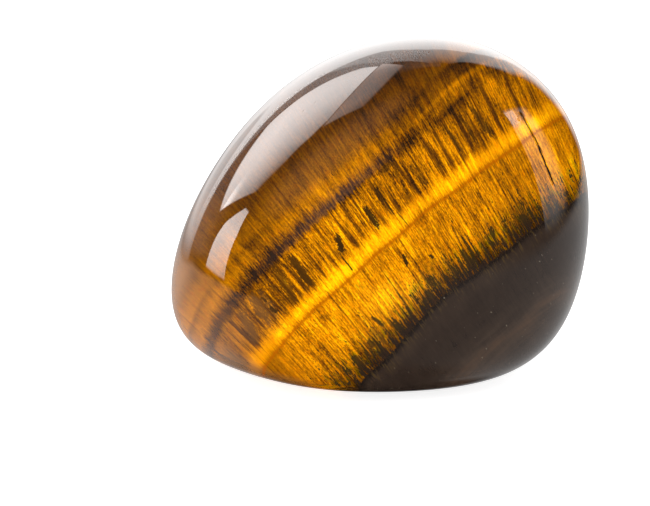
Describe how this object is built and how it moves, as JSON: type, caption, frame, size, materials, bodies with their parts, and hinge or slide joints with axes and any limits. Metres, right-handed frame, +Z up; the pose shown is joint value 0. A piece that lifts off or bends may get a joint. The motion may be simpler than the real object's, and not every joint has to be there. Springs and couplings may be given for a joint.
{
  "type": "polished tigers eye stone",
  "caption": "Tumbled and polished tigers eye: a smooth rounded chip of banded golden-brown quartz that lies on a small worn flat.",
  "frame": {"origin": "on the surface that the stone lies on, below the middle of its bounding box", "axes": "+Z up, +X from the pointed end towards the broad right end, which is the longest way through the stone; the banded front looks along -Y"},
  "size_m": [0.03, 0.0228, 0.0249],
  "materials": {
    "polished_tigers_eye": "polished"
  },
  "bodies": {
    "root": {"stone": "polished_tigers_eye"}
  },
  "joints": []
}
